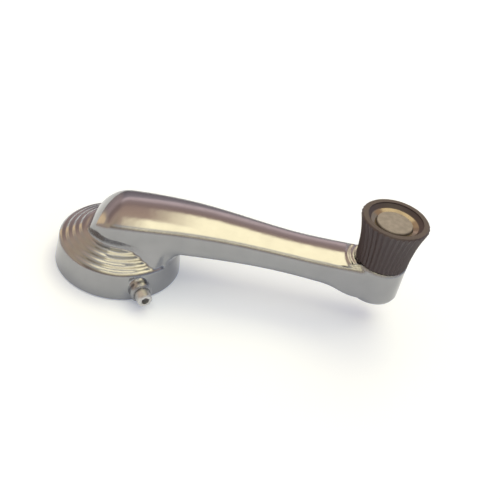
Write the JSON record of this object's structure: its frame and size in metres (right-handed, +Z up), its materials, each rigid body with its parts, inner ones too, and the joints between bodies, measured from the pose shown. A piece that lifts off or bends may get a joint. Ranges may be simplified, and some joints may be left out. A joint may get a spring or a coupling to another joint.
{
  "type": "crank handle",
  "caption": "Hand crank with a stepped round hub and shaft bore, an arched crowned arm, a free-turning fluted knob on a headed pin, and a set screw for the shaft.",
  "frame": {"origin": "on the shaft axis, at the mouth of the shaft bore in the plane of the hub's open underside", "axes": "+Z up the shaft axis, out of the hub's top and parallel to the knob's axis; +X along the arm from the shaft axis to the knob; +Y completes the right-handed frame"},
  "size_m": [0.1266, 0.049, 0.043],
  "materials": {
    "chrome_casting": "bright nickel-chrome plate on a smooth die casting",
    "screw_steel": "plain machined steel",
    "knob_plastic": "dark brown moulded plastic with a soft sheen",
    "pin_metal": "matte taupe, turned head"
  },
  "bodies": {
    "crank": {"crank_body": "chrome_casting", "knob_pin": "pin_metal"},
    "hand_knob": {"knob": "knob_plastic"},
    "clamp_screw": {"set_screw": "screw_steel"}
  },
  "joints": [
    {"name": "knob_spin", "type": "hinge", "parent": "crank", "child": "hand_knob", "pos_m": [0.092, 0, 0.034], "axis": [0, 0, 1], "continuous": true},
    {"name": "screw_slide", "type": "slide", "parent": "crank", "child": "clamp_screw", "axis": [-0.5075, 0.8616, 0], "range_m": [0, 0.0085]}
  ]
}
